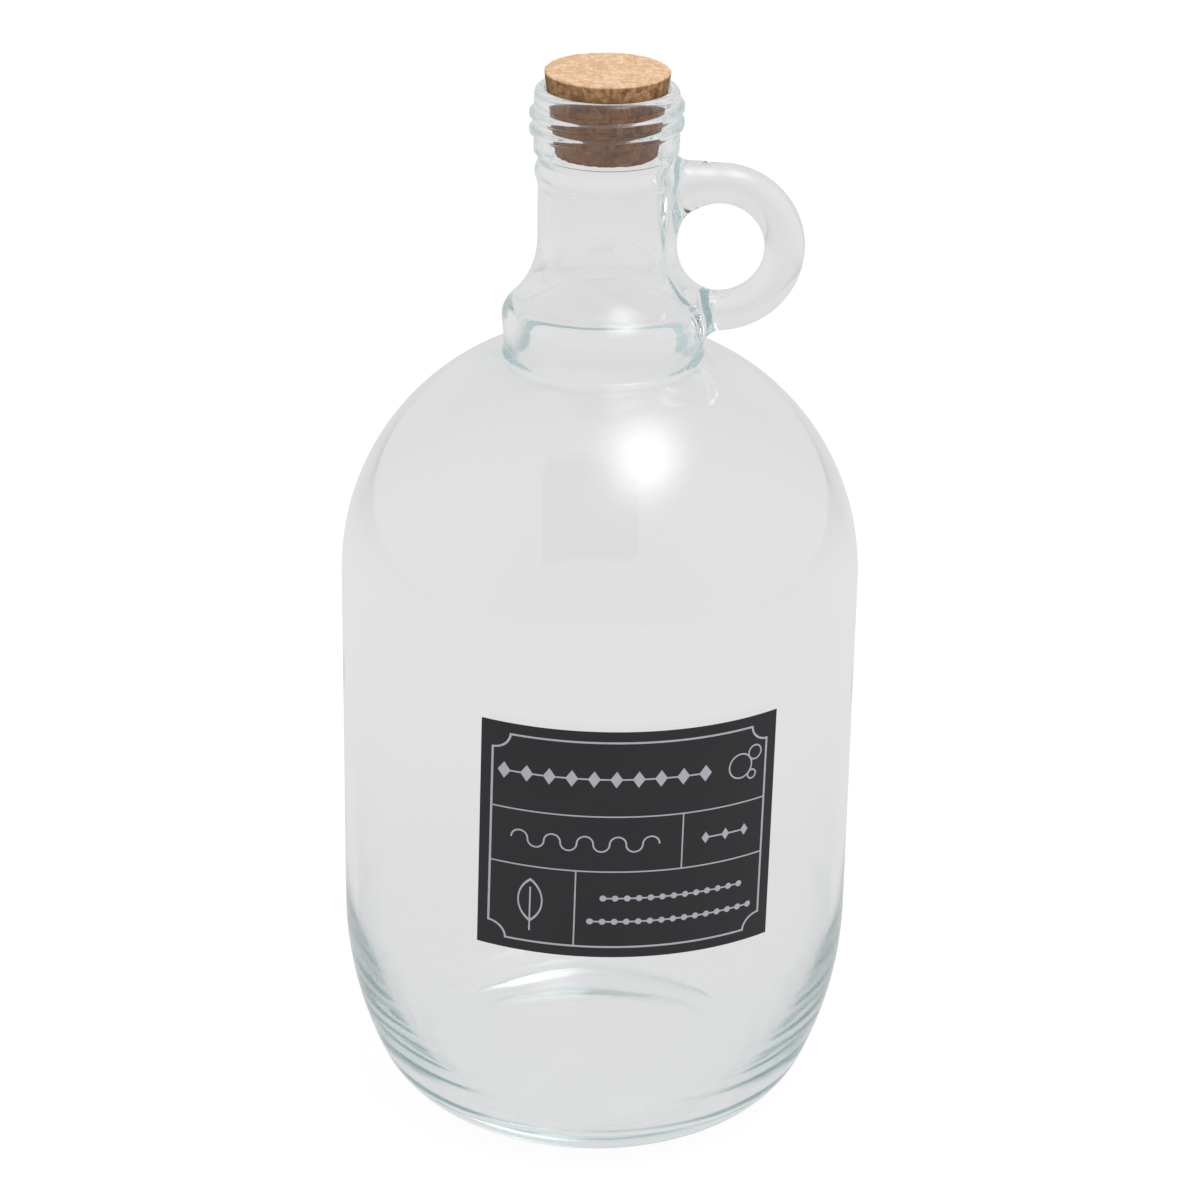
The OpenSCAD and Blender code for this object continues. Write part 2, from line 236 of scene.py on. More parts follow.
# Gathers points, normals and faces of one closed mesh from its stretches
class Skin:
    def __init__(self):
        self.points = []
        self.normals = []
        self.faces = []
        self.count = 0

    def addPoints(self, points, normals):
        self.points.append(points.reshape(-1, 3))
        self.normals.append(normals.reshape(-1, 3))
        first = self.count
        self.count += len(self.points[-1])
        return first

    # rows of points round the axis, with a normal for each
    def addGrid(self, grid, normals):
        rows, segments = grid.shape[:2]
        index = self.addPoints(grid, normals) + np.arange(rows * segments).reshape(rows, segments)
        beside = np.roll(index, -1, 1)
        quads = np.stack([index[:-1], beside[:-1], beside[1:], index[1:]], -1)
        self.faces += quads.reshape(-1, 4).tolist()
        return index

    # closes a row with a point on the axis
    def addPole(self, row, height, up, after):
        pole = self.addPoints(np.array([[0, 0, height]]), np.array([[0, 0, up]]))
        beside = np.roll(row, -1)
        for a, b in zip(row.tolist(), beside.tolist()):
            self.faces.append([a, b, pole] if after else [pole, b, a])

    # joins two loops round the axis that have different counts
    def zip(self, low, high):
        points = np.concatenate(self.points)
        loops = []
        for loop in (low, high):
            angle = np.arctan2(points[loop, 1], points[loop, 0])
            order = np.argsort(angle)
            loops.append((np.array(loop)[order], angle[order]))
        (a, at), (b, bt) = loops
        i = j = 0
        while i < len(a) or j < len(b):
            nextA = at[i + 1] if i + 1 < len(a) else at[0] + 2 * math.pi if i < len(a) else 99
            nextB = bt[j + 1] if j + 1 < len(b) else bt[0] + 2 * math.pi if j < len(b) else 99
            here, there = int(a[i % len(a)]), int(b[j % len(b)])
            if nextA <= nextB:
                self.faces.append([here, int(a[(i + 1) % len(a)]), there])
                i += 1
            else:
                self.faces.append([here, int(b[(j + 1) % len(b)]), there])
                j += 1

    def make(self, name):
        points = np.concatenate(self.points) * mm
        return makeObject(name, points, self.faces, np.concatenate(self.normals))


# Glass, in millimetres, with the sizes of the solid that it stands for
bottle = {
    "bodyR": 65, "heelH": 51.5, "sideH": 92, "heelR": 97, "footR": 24.6, "footCut": 2,
    "shoulderR": 62, "wall": 3, "baseT": 6, "pushUpH": 5, "pushUpR": 40, "floorCrown": 2,
    "innerFootR": 8, "innerHeelR": 86, "innerHeelH": 56,
    "innerCollarR": 22.6, "innerFilletR": 3, "shoulderMore": 1, "innerCollarH": 211, "innerRoundR": 4,
    "innerFlareR": 18, "innerCollarIn": 0.8,
    "collarR": 24.5, "collarLip": 0.6, "collarH": 9.5, "collarRound": 4, "collarFillet": 1.5,
    "collarTaper": 7,
    "neckR": 16.5, "neckL": 22, "flareR": 22, "beadH": 5, "beadProud": 0.9, "beadDrop": 5,
    "finishH": 16.2, "rootR": 17.6, "threadR": 18.7, "pitch": 4, "turns": 2.2, "threadW": 2.9,
    "threadFlank": (0.35, 0.88), "threadDrop": 4, "threadStart": 65, "threadFade": 45,
    "lipRound": 2, "mouthRound": 1.2, "mouthR": 14.8, "throatR": 13.7, "mouthL": 23,
    "ringR": 16.25, "rodR": 4.95, "ringSink": 0.3, "ringLift": 1.2,
    "ripple": 0.03,       # unevenness of the inside
    "collarRipple": 0.13, # and more of it inside the collar
    "rippleSeed": 4,
    # of its waves: the count, the most round the axis, the least and the greatest length
    "rippleWaves": (14, 12, 14, 60), "collarWaves": (12, 14, 5, 14),
    "segments": 180,      # round the axis
    "step": 2.4,          # between rows of the body
    "netStep": 0.65,      # between points of the neck and the ring
    "rootBlend": 4.5,     # how softly the ring flows into the neck
    "webBlend": 3.5,      # how softly the ring flows into its level roots
    "edgeSoft": 0.75,     # rounding of the collar's and the bead's corners
    "rimSoft": 20,        # and of the push-up's rim
    "footSoft": 6,        # and of the bearing ring's outer edge
}


def glassPlaces(b):
    # centres and meeting points of the outline's curves, as [radius, height]
    sideZ = b["heelH"] + b["sideH"]
    heelC = (b["bodyR"] - b["heelR"], b["heelH"])
    footZ = b["footR"] - b["footCut"]
    footC = (heelC[0] + reach(b["heelR"] - b["footR"], b["heelH"] - footZ), footZ)
    shoulderC = (b["bodyR"] - b["shoulderR"], sideZ)
    collarZ = sideZ + reach(b["shoulderR"], b["collarR"] - shoulderC[0])
    collarC = (b["collarR"] + b["collarLip"] - b["collarRound"], collarZ + b["collarH"])
    filletX = b["collarR"] + b["collarFillet"]
    filletC = (filletX, sideZ + reach(b["shoulderR"] + b["collarFillet"], filletX - shoulderC[0]))
    flareX = b["neckR"] + b["flareR"]
    flareC = (flareX, collarC[1] + reach(b["flareR"] + b["collarRound"], flareX - collarC[0]))
    finishZ = flareC[1] + b["neckL"]
    lipZ = finishZ + b["finishH"]
    innerR = b["bodyR"] - b["wall"]
    floorZ = b["pushUpH"] + b["baseT"]
    innerHeelC = (innerR - b["innerHeelR"], b["innerHeelH"])
    innerFootZ = floorZ - b["floorCrown"] + b["innerFootR"]
    innerFootX = innerHeelC[0] + reach(b["innerHeelR"] - b["innerFootR"], b["innerHeelH"] - innerFootZ)
    innerFootC = (innerFootX, innerFootZ)
    innerShoulderR = b["shoulderR"] - b["wall"]
    innerShoulderC = (shoulderC[0], sideZ - b["shoulderMore"])
    innerFilletX = b["innerCollarR"] - b["innerCollarIn"] + b["innerFilletR"]
    innerFilletZ = innerShoulderC[1] + reach(innerShoulderR + b["innerFilletR"], innerFilletX - shoulderC[0])
    innerCollarC = (b["innerCollarR"] - b["innerRoundR"], b["innerCollarH"])
    innerFlareX = b["throatR"] + b["innerFlareR"]
    flareReach = b["innerFlareR"] + b["innerRoundR"]
    innerFlareZ = b["innerCollarH"] + reach(flareReach, innerFlareX - innerCollarC[0])
    drop = innerFootC[1] - floorZ
    crown = (innerFootX ** 2 + drop ** 2 - b["innerFootR"] ** 2) / (2 * (b["innerFootR"] - drop))
    return {
        "side": sideZ, "heel": heelC, "foot": footC, "shoulder": shoulderC, "collar": collarC,
        "fillet": filletC, "flare": flareC, "finish": finishZ, "lip": lipZ, "innerR": innerR,
        "floor": floorZ, "innerHeel": innerHeelC, "innerFoot": innerFootC,
        "innerFlare": (innerFlareX, innerFlareZ), "crown": crown,
        "innerShoulder": innerShoulderC, "innerShoulderR": innerShoulderR,
        "innerFillet": (innerFilletX, innerFilletZ), "innerCollar": innerCollarC,
        "ring": (b["neckR"] - b["ringSink"] + b["ringR"] - b["rodR"],
                 collarC[1] + b["ringLift"] + b["ringR"]),
        "netLow": filletC[1] + 1.9, "netHigh": finishZ - 0.36,
    }


# outline from the middle of the underside up to the collar
def lowerOutline(b, p):
    step = b["step"]
    pushUpCurve = (b["pushUpR"] ** 2 + b["pushUpH"] ** 2) / (2 * b["pushUpH"])
    pushUpC = (0, b["pushUpH"] - pushUpCurve)
    rimC = (reach(pushUpCurve + b["rimSoft"], b["rimSoft"] - pushUpC[1]), b["rimSoft"])
    rimUp = onLine(pushUpC, rimC, pushUpCurve)
    ringC = (p["foot"][0] + reach(b["footR"] - b["footSoft"], p["foot"][1] - b["footSoft"]), b["footSoft"])
    ringUp = onLine(p["foot"], ringC, b["footR"])
    footTop = onLine(p["heel"], p["foot"], b["heelR"])
    filletLow = onLine(p["shoulder"], p["fillet"], b["shoulderR"])
    collarFoot = (b["collarR"], p["fillet"][1])
    return joined(
        arc(pushUpC, (0, b["pushUpH"]), rimUp, step),
        arc(rimC, rimUp, (rimC[0], 0), 0.8),
        straight((rimC[0], 0), (ringC[0], 0), 0.8),
        arc(ringC, (ringC[0], 0), ringUp, 0.6),
        arc(p["foot"], ringUp, footTop, step * 0.6),
        arc(p["heel"], footTop, (b["bodyR"], b["heelH"]), step),
        straight((b["bodyR"], b["heelH"]), (b["bodyR"], p["side"]), step * 1.3),
        arc(p["shoulder"], (b["bodyR"], p["side"]), filletLow, step * 0.8),
        arc(p["fillet"], filletLow, collarFoot, 0.4),
        straight(collarFoot, (b["collarR"], p["netLow"]), 0.8),
    )


# outline from the neck over the lip and down inside to the middle of the floor
def upperOutline(b, p):
    step = b["step"]
    finish, lip, root = p["finish"], p["lip"], b["rootR"]
    inCorner, outCorner = finish - p["netHigh"], 0.4
    inX, outX = b["neckR"] + inCorner, root - outCorner
    seat = lip - b["mouthRound"]
    outC, inC = (root - b["lipRound"], lip - b["lipRound"]), (b["mouthR"] + b["mouthRound"], seat)
    crest = (outC[0] + inC[0]) / 2
    innerFlareLow = onLine(p["innerCollar"], p["innerFlare"], b["innerRoundR"])
    innerFilletLow = onLine(p["innerShoulder"], p["innerFillet"], p["innerShoulderR"])
    innerFoot = (b["innerCollarR"] - b["innerCollarIn"], p["innerFillet"][1])
    innerSide = [(b["innerCollarR"], p["innerCollar"][1]), innerFoot]
    innerFootTop = onLine(p["innerHeel"], p["innerFoot"], b["innerHeelR"])
    floorEdge = onLine(p["innerFoot"], (0, p["floor"] - p["crown"]), b["innerFootR"])
    return joined(
        arc((inX, p["netHigh"]), (b["neckR"], p["netHigh"]), (inX, finish), 0.2),
        straight((inX, finish), (outX, finish), 0.3),
        arc((outX, finish + outCorner), (outX, finish), (root, finish + outCorner), 0.2),
        straight((root, finish + outCorner), (root, lip - b["lipRound"]), 0.27),
        arc(outC, (root, outC[1]), (crest, outC[1] + reach(b["lipRound"], crest - outC[0])), 0.3),
        [(0, 0)] + arc(inC, (crest, seat + reach(b["mouthRound"], inC[0] - crest)), (b["mouthR"], seat), 0.3),
        straight((b["mouthR"], seat), (b["throatR"], lip - b["mouthL"]), 1.5),
        straight((b["throatR"], lip - b["mouthL"]), (b["throatR"], p["innerFlare"][1]), 1.5),
        arc(p["innerFlare"], (b["throatR"], p["innerFlare"][1]), innerFlareLow, step * 0.4),
        arc(p["innerCollar"], innerFlareLow, innerSide[0], step * 0.4),
        straight(*innerSide, step * 0.6),
        arc(p["innerFillet"], innerSide[1], innerFilletLow, step * 0.3),
        arc(p["innerShoulder"], innerFilletLow, (p["innerR"], p["innerShoulder"][1]), step * 0.8),
        straight((p["innerR"], p["innerShoulder"][1]), (p["innerR"], b["innerHeelH"]), step * 1.3),
        arc(p["innerHeel"], (p["innerR"], b["innerHeelH"]), innerFootTop, step * 0.8),
        arc(p["innerFoot"], innerFootTop, floorEdge, step * 0.5),
        arc((0, p["floor"] - p["crown"]), floorEdge, (0, p["floor"]), step),
    )


# how far the thread stands out of the finish at an angle and a height
def threadHeight(b, p, angle, z):
    sweep = b["turns"] * 360
    low = p["lip"] - b["threadDrop"] - b["pitch"] * b["turns"]
    best = np.zeros(np.broadcast(angle, z).shape)
    first = (np.degrees(angle) - (b["threadStart"] - sweep)) % 360
    for turn in range(math.ceil(b["turns"]) + 1):
        along = first + 360 * turn
        fade = np.clip(np.minimum(along, sweep - along) / b["threadFade"], 0, 1)
        across = np.abs(z - low - b["pitch"] * along / 360) / (b["threadW"] / 2)
        ridge = 1 - smoothStep(across, *b["threadFlank"])
        best = np.maximum(best, ridge * fade * fade * (3 - 2 * fade))
    return best * (b["threadR"] - b["rootR"])


# radius of the collar, flare, neck and bead by height, with softened corners
def neckTable(b, p):
    z = np.arange(p["netLow"] - 6, p["netHigh"] + 6, 0.05)
    collarC, flareC = p["collar"], p["flare"]
    flareLow = onLine(collarC, flareC, b["collarRound"])
    side = b["collarR"] + b["collarLip"] * smoothStep(z, collarC[1] - b["collarTaper"], collarC[1])
    side = np.where(z < collarC[1], side, 0)
    edge = collarC[0] + np.sqrt(np.maximum(b["collarRound"] ** 2 - (z - collarC[1]) ** 2, 0))
    edge = np.where((z >= collarC[1]) & (z < collarC[1] + b["collarRound"]), edge, 0)
    flare = flareC[0] - np.sqrt(np.maximum(b["flareR"] ** 2 - np.minimum(z - flareC[1], 0) ** 2, 0))
    flare = np.where(z > flareLow[1], flare, 0)
    beadR = (b["beadH"] ** 2 / 4 + b["beadProud"] ** 2) / (2 * b["beadProud"])
    beadZ = p["finish"] - b["beadDrop"]
    bead = b["neckR"] + b["beadProud"] - beadR + np.sqrt(np.maximum(beadR ** 2 - (z - beadZ) ** 2, 0))
    radius = np.max([side, edge, flare, bead], 0)
    reachOut = np.arange(-3, 3.01, 0.05) / b["edgeSoft"]
    weight = np.exp(-reachOut ** 2 / 2)
    return z, np.convolve(np.pad(radius, len(weight) // 2, "edge"), weight / weight.sum(), "valid")


def softUnion(a, b, size):
    h = np.maximum(size - np.abs(a - b), 0) / np.maximum(size, 1e-9)
    return np.minimum(a, b) - h * h * size / 4


# about how far points lie outside the neck and its finger ring
def neckField(b, p, table, points):
    x, y, z = points[..., 0], points[..., 1], points[..., 2]
    heights, radii = table
    radius = np.interp(z, heights, radii)
    slope = np.interp(z, heights, np.gradient(radii, heights))
    wall = (np.hypot(x, y) - radius) / np.sqrt(1 + slope * slope)
    ringX, ringZ = p["ring"]
    ring = np.hypot(np.hypot(x - ringX, z - ringZ) - b["ringR"], y) - b["rodR"]
    for side in (-1, 1):
        rod = np.hypot(z - ringZ - side * b["ringR"], y) - b["rodR"]
        rod = np.maximum(rod, x - ringX)
        web = b["webBlend"] * smoothStep(ringX - x, 0, 8)
        ring = softUnion(ring, np.maximum(rod, -x), web)
    return softUnion(wall, ring, b["rootBlend"])


# Mesh of the surface where a field is zero: one point in each cell that the surface crosses,
# then the points are drawn onto the surface and evened out. It stays open at its top and bottom.
def netSurface(field, low, high, step):
    count = [math.ceil((b - a) / step) for a, b in zip(low, high)]
    axes = [np.linspace(a, b, n + 1) for a, b, n in zip(low, high, count)]
    inside = field(np.stack(np.meshgrid(*axes, indexing="ij"), -1)) < 0
    corners = sum(
        inside[i:i + count[0], j:j + count[1], k:k + count[2]].astype(int)
        for i, j, k in product((0, 1), repeat=3)
    )
    cells = np.argwhere((corners > 0) & (corners < 8))
    index = np.full(count, -1)
    index[tuple(cells.T)] = np.arange(len(cells))
    points = np.stack([(axes[k][cells[:, k]] + axes[k][cells[:, k] + 1]) / 2 for k in range(3)], -1)

    faces = []
    for axis in range(3):
        u, v = (axis + 1) % 3, (axis + 2) % 3
        change = np.diff(inside.astype(int), axis=axis)
        edges = np.argwhere(change != 0)
        for k in (u, v):
            edges = edges[(edges[:, k] > 0) & (edges[:, k] < count[k])]
        leaves = change[tuple(edges.T)] < 0
        ring = []
        for du, dv in ((-1, -1), (0, -1), (0, 0), (-1, 0)):
            cell = edges.copy()
            cell[:, u] += du
            cell[:, v] += dv
            ring.append(index[tuple(cell.T)])
        quads = np.stack(ring, -1)
        faces.append(np.where(leaves[:, None], quads, quads[:, ::-1]))
    faces = np.concatenate(faces)

    bottom, top = cells[:, 2] == 0, cells[:, 2] == count[2] - 1
    points[bottom, 2], points[top, 2] = low[2], high[2]
    rim = bottom | top
    a, b = np.concatenate([faces[:, [i, (i + 1) % 4]] for i in range(4)]).T
    a, b = np.concatenate([a, b]), np.concatenate([b, a])
    weight = np.where(rim[a] & ~rim[b], 0.0, 1.0)
    total = np.bincount(a, weight, len(points))[:, None]

    def gradient(at):
        h = 0.01
        parts = [field(at + h * e) - field(at - h * e) for e in np.eye(3)]
        return np.stack(parts, -1) / (2 * h)

    for turn in range(8):
        for _ in range(2):
            g = gradient(points)
            g[rim, 2] = 0
            points -= g * (field(points) / np.maximum((g * g).sum(-1), 0.05))[:, None]
        if turn < 7:
            mean = np.stack([np.bincount(a, weight * points[b, k], len(points)) for k in range(3)], -1)
            points += 0.6 * (mean / total - points)
    return points, unit(gradient(points)), faces, np.flatnonzero(bottom), np.flatnonzero(top)


# slow unevenness of pressed glass, from waves that close round the axis
def ripple(angle, along, seed, waves, aroundMost, lengthLeast, lengthMost):
    rng = np.random.default_rng(seed)
    total = 0
    for _ in range(waves):
        turns = rng.integers(0, aroundMost + 1)
        length = rng.uniform(lengthLeast, lengthMost)
        phase, lean = rng.uniform(0, 2 * math.pi, 2)
        total = total + np.sin(turns * angle + 2 * math.pi * along / length + phase) * math.cos(lean)
    return total / math.sqrt(waves)


def makeBottle(b):
    p = glassPlaces(b)
    skin = Skin()
    segments = b["segments"]
    angle = np.arange(segments) * 2 * math.pi / segments

    lower = turned(lowerOutline(b, p)[1:], segments)
    lowerRows = skin.addGrid(lower, gridNormals(lower))
    skin.addPole(lowerRows[0], b["pushUpH"], -1, after=False)

    outline = upperOutline(b, p)
    upper = turned(outline[:-1], segments)
    r, z = np.hypot(upper[..., 0], upper[..., 1]), upper[..., 2]
    onFinish = (r > b["rootR"] - 0.5) & (z > p["finish"])
    stands = np.where(onFinish, threadHeight(b, p, angle[None, :], z), 0)
    upper[..., :2] *= ((r + stands) / r)[..., None]
    inside = (np.arange(len(upper)) > z[:, 0].argmax())[:, None]
    length = np.cumsum(np.hypot(np.diff(r[:, 0], prepend=r[0, 0]), np.diff(z[:, 0], prepend=z[0, 0])))
    wave = ripple(angle[None, :], length[:, None], b["rippleSeed"], *b["rippleWaves"])
    wave = wave * inside * smoothStep(p["fillet"][1] - z, 0, 12)
    close = ripple(angle[None, :], length[:, None], b["rippleSeed"] + 1, *b["collarWaves"])
    close = close * inside * (1 - smoothStep(np.abs(z - p["fillet"][1]), 3, 12))
    upper += gridNormals(upper) * (b["ripple"] * wave + b["collarRipple"] * close)[..., None]
    upperRows = skin.addGrid(upper, gridNormals(upper))
    skin.addPole(upperRows[-1], p["floor"], 1, after=True)

    table = neckTable(b, p)
    reachOut = b["collarR"] + 3
    far = p["ring"][0] + b["ringR"] + b["rodR"] + 1
    points, normals, faces, bottom, top = netSurface(
        lambda at: neckField(b, p, table, at),
        (-reachOut, -reachOut, p["netLow"]), (far, reachOut, p["netHigh"]), b["netStep"],
    )
    first = skin.addPoints(points, normals)
    skin.faces += (faces + first).tolist()
    skin.zip(lowerRows[-1].tolist(), (bottom + first).tolist())
    skin.zip((top + first).tolist(), upperRows[0].tolist())
    body = skin.make("bottleGlass")
    triangles = sum(len(f) - 2 for f in skin.faces)
    print("glass:", len(points), "points in the neck,", triangles, "triangles in all")
    return body


glassFinish = {
    "tint": (1.0, 1.0, 1.0),
    "heelSoft": 0.065,                 # roughness at the heel, where the moulded glass is uneven
    "heelFrom": 0.082,
    "heelTo": 0.040,
    "collarSoft": 0.13,                # and round the collar
    "collarAt": 0.2025,
    "collarReach": 0.0085,
    "ior": 1.51,
    "absorbs": (0.74, 0.885, 0.900),   # colour of the volume
    "density": 4.5,                    # for each metre
}


def glassMaterial(g):
    material, nodes = newMaterial("clearGlass")
    place = nodes.add("ShaderNodeTexCoord", output=3)
    height = nodes.add("ShaderNodeSeparateXYZ", None, {0: place}, output=2)
    low = 1 - nodes.band(height, g["heelTo"], g["heelFrom"])
    away = nodes.maths("ABSOLUTE", height - g["collarAt"], 0.0)
    collar = 1 - nodes.band(away, g["collarReach"] * 0.4, g["collarReach"])
    rough = low * g["heelSoft"] + collar * g["collarSoft"]
    surface = nodes.add("ShaderNodeBsdfPrincipled", None, {
        "Base Color": g["tint"], "Roughness": rough, "IOR": g["ior"], "Transmission Weight": 1.0,
    })
    volume = nodes.add("ShaderNodeVolumeAbsorption", None, {"Color": g["absorbs"], "Density": g["density"]})
    nodes.finish(surface, volume)
    return material


glass = makeBottle(bottle)
dress(glass, glassMaterial(glassFinish))
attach(glass, "bottle")
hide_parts("glass_bottle")
print("glass made")

# Cork, in millimetres
cork = {
    "top": 272.76, "length": 20.5, "seatZ": 267.56, "seatR": 14.65, "taper": 0.13, "bevel": 0.45,
    "segments": 160, "step": 0.45,
    "granule": 1.7,        # size of one granule
    "uneven": 0.09,        # how far granules stand out or lie back
    "joint": 0.10,         # depth of the joints between them
    # the top's colours carry painted light and the side's colours carry painted shade, over the cork's own
    # granule tones
    "litTopTones": ((0.86, 0.51, 0.285), (1.0, 0.74, 0.475)),
    "shadedSideTones": ((0.25, 0.11, 0.045), (0.62, 0.35, 0.16)),
    "jointTone": (0.20, 0.09, 0.04),
    "lip": 268.7,          # height of the bottle's lip
    "neckShade": (0.74, 0.55, 0.36),   # painted shade: how much darker the cork is made where the glass neck holds it
}


def makeCork(c):
    low = c["top"] - c["length"]
    bevel = c["bevel"]
    lowR = c["seatR"] + c["taper"] * (low - c["seatZ"])
    topR = lowR + c["taper"] * c["length"]
    outline = joined(
        straight((0, low), (lowR - bevel, low), 0.8),
        straight((lowR - bevel, low), (lowR, low + bevel), 0.3),
        straight((lowR, low + bevel), (topR, c["top"] - bevel), c["step"]),
        straight((topR, c["top"] - bevel), (topR - bevel, c["top"]), 0.3),
        straight((topR - bevel, c["top"]), (0, c["top"]), 0.5),
    )
    grid = turned(outline[1:-1], c["segments"])
    outward = gridNormals(grid)
    rise = np.empty(grid.shape[:2])
    for i, row in enumerate(grid):
        for j, point in enumerate(row):
            near, cells = noise.voronoi(Vector(point) / c["granule"])
            joint = 1 - smoothStep(near[1] - near[0], 0.0, 0.3)
            rise[i, j] = c["uneven"] * (noise.cell(cells[0] * 37.1) - 1) - c["joint"] * joint
    grid = grid + outward * rise[..., None]
    skin = Skin()
    rows = skin.addGrid(grid, gridNormals(grid))
    skin.addPole(rows[0], low, -1, after=False)
    skin.addPole(rows[-1], c["top"] - c["uneven"], 1, after=True)
    return skin.make("corkPlug")


def corkMaterial(c):
    material, nodes = newMaterial("bondedCork")
    place = nodes.add("ShaderNodeTexCoord", output=3)
    scale = 1 / (c["granule"] * mm)
    tone = nodes.add("ShaderNodeTexVoronoi", None, {"Vector": place, "Scale": scale}, output=1)
    red = nodes.add("ShaderNodeSeparateColor", None, {0: tone})
    borders = {"feature": "DISTANCE_TO_EDGE"}
    edge = nodes.add("ShaderNodeTexVoronoi", borders, {"Vector": place, "Scale": scale})
    fine = nodes.add("ShaderNodeTexNoise", None, {"Vector": place, "Scale": scale * 1.6, "Detail": 4.0})
    speck = nodes.add("ShaderNodeTexNoise", None, {"Vector": place, "Scale": scale * 2.6, "Detail": 2.0})
    mix = nodes.band(red * 0.55 + fine * 0.9, 0.30, 1.05)
    height = nodes.add("ShaderNodeSeparateXYZ", None, {0: place}, output=2)
    # the top face is made lighter with painted light and the side darker with painted shade
    litTopFace = nodes.band(height, (c["top"] - 0.75) * mm, (c["top"] - 0.35) * mm)
    side = nodes.blend(mix, *c["shadedSideTones"])
    # painted shade: the cork's side is darkened below the bottle's lip, where the glass neck holds it
    shadeInNeck = 1 - nodes.band(height, (c["lip"] - 2.5) * mm, (c["lip"] + 0.3) * mm)
    side = nodes.blend(shadeInNeck, side, side * c["neckShade"])
    top = nodes.blend(mix, *c["litTopTones"])
    colour = nodes.blend(litTopFace, side, top)
    gap = (1 - nodes.band(edge, 0.0, 0.07)) * 0.4 + nodes.band(speck, 0.60, 0.70) * 0.55
    colour = nodes.blend(gap * (1 - litTopFace * 0.45), colour, c["jointTone"])
    relief = nodes.band(edge, 0.0, 0.12) * 0.6 + fine * 0.5
    normal = nodes.add("ShaderNodeBump", None, {"Height": relief, "Strength": 0.5, "Distance": 0.0003})
    nodes.finish(nodes.add("ShaderNodeBsdfPrincipled", None, {
        "Base Color": colour, "Roughness": 0.8, "IOR": 1.4, "Normal": normal,
    }))
    return material


plug = makeCork(cork)
dress(plug, corkMaterial(cork))
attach(plug, "cork")
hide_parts("cork_stopper")
print("cork made")

# Label, in millimetres, and its print
label = {
    "width": 76, "height": 61, "middle": 97.7, "turn": 7.8, "tilt": 1.1,
    "backR": 65.03, "frontR": 65.2, "bodyR": 65,
    "columns": 60, "rows": 30,
    "paper": (0.019, 0.019, 0.022),
    "back": (0.93, 0.93, 0.93),
    "ink": (0.56, 0.56, 0.62),
}


def makeLabel(s):
    columns, rows = s["columns"], s["rows"]
    tilt = math.radians(s["tilt"])
    x, y = np.meshgrid((np.arange(columns + 1) / columns - 0.5) * s["width"],
                       (np.arange(rows + 1) / rows - 0.5) * s["height"])
    along = x * math.cos(tilt) + y * math.sin(tilt)
    z = s["middle"] + y * math.cos(tilt) - x * math.sin(tilt)
    angle = math.radians(s["turn"] - 90) + along / s["bodyR"]
    sides = [np.stack([r * np.cos(angle), r * np.sin(angle), z], -1) for r in (s["frontR"], s["backR"])]
    points = np.concatenate([side.reshape(-1, 3) for side in sides])
    front = np.arange((columns + 1) * (rows + 1)).reshape(rows + 1, columns + 1)
    back = front + front.size
    quads = np.stack([front[:-1, :-1], front[:-1, 1:], front[1:, 1:], front[1:, :-1]], -1).reshape(-1, 4)
    faces = quads.tolist() + (quads[:, ::-1] + front.size).tolist()
    rim = [*front[0], *front[1:, -1], *front[-1, -2::-1], *front[-2:0:-1, 0]]
    other = [*back[0], *back[1:, -1], *back[-1, -2::-1], *back[-2:0:-1, 0]]
    for i in range(len(rim)):
        j = (i + 1) % len(rim)
        faces.append([int(rim[i]), int(other[i]), int(other[j]), int(rim[j])])
    body = makeObject("labelSheet", points * mm, faces)
    body.data.set_sharp_from_angle(angle=math.radians(40))
    body.data.materials.append(paperMaterial(s))
    body.data.materials.append(plainMaterial("palePaper", s["back"], 0.7))
    for face in body.data.polygons[len(quads):2 * len(quads)]:
        face.material_index = 1
    return body


def plainMaterial(name, colour, roughness):
    material, nodes = newMaterial(name)
    nodes.finish(nodes.add("ShaderNodeBsdfPrincipled", None, {"Base Color": colour, "Roughness": roughness}))
    return material


def paperMaterial(s):
    material, nodes = newMaterial("darkPaper")
    place = nodes.add("ShaderNodeTexCoord", output=3)
    cloud = nodes.add("ShaderNodeTexNoise", None, {"Vector": place, "Scale": 60.0, "Detail": 3.0})
    low = tuple(v * 0.85 for v in s["paper"])
    high = tuple(v * 1.2 for v in s["paper"])
    nodes.finish(nodes.add("ShaderNodeBsdfPrincipled", None, {
        "Base Color": nodes.blend(cloud, low, high), "Roughness": 0.55, "IOR": 1.45,
    }))
    return material


def inkMaterial(s):
    material, nodes = newMaterial("paleInk")
    place = nodes.add("ShaderNodeTexCoord", output=3)
    cloud = nodes.add("ShaderNodeTexNoise", None, {"Vector": place, "Scale": 900.0, "Detail": 2.0})
    low = tuple(v * 0.9 for v in s["ink"])
    high = tuple(v * 1.1 for v in s["ink"])
    nodes.finish(nodes.add("ShaderNodeBsdfPrincipled", None, {
        "Base Color": nodes.blend(cloud, low, high), "Roughness": 0.5, "IOR": 1.45,
    }))
    return material


sheet = makeLabel(label)
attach(sheet, "bottle")
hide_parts("label")
dress(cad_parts["label_print"], inkMaterial(label))
print("label made")

# Studio
studio = {
    "white": 1.0,          # what the camera sees round the bottle
    "room": 0.74,          # what glass and gloss see of the room
    "paper": 0.772,        # what glass and gloss see of the floor
    "near": 0.735,         # the same close behind the bottle, darker there as a painted shadow of the bottle
    "fade": 0.055,         # painted shade: how much darker it is far behind
    "sideShade": 0.12,         # and far to the sides, also painted shade
    "fill": 0.62,          # light from all round
    "front": 0.55,         # how bright the room is behind the camera
    "lamp": 2.1,           # brightness of the overhead softbox
    "lampAt": (0.38, -0.26, 1.40),
    "lampSize": (1.40, 2.10),
}


